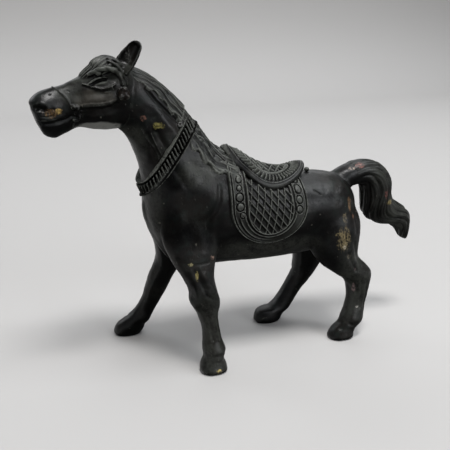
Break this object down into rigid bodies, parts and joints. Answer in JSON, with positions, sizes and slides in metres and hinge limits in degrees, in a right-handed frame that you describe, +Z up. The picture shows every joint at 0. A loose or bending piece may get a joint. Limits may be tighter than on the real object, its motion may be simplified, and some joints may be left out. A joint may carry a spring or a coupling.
{
  "type": "horse figurine",
  "caption": "Small cast bronze horse standing on its hooves, with a saddle on a patterned pad, a beaded collar, a mane and a raised tail.",
  "frame": {"origin": "middle of the footprint box of the whole horse, on the plane of the four soles", "axes": "+X runs towards the tail, +Z is up, and the horse's left side faces -Y"},
  "size_m": [0.1378, 0.0458, 0.1074],
  "materials": {
    "bronze": "satin black-brown patina, rubbed to bare metal in spots"
  },
  "bodies": {
    "root": {"horse": "bronze"}
  },
  "joints": []
}
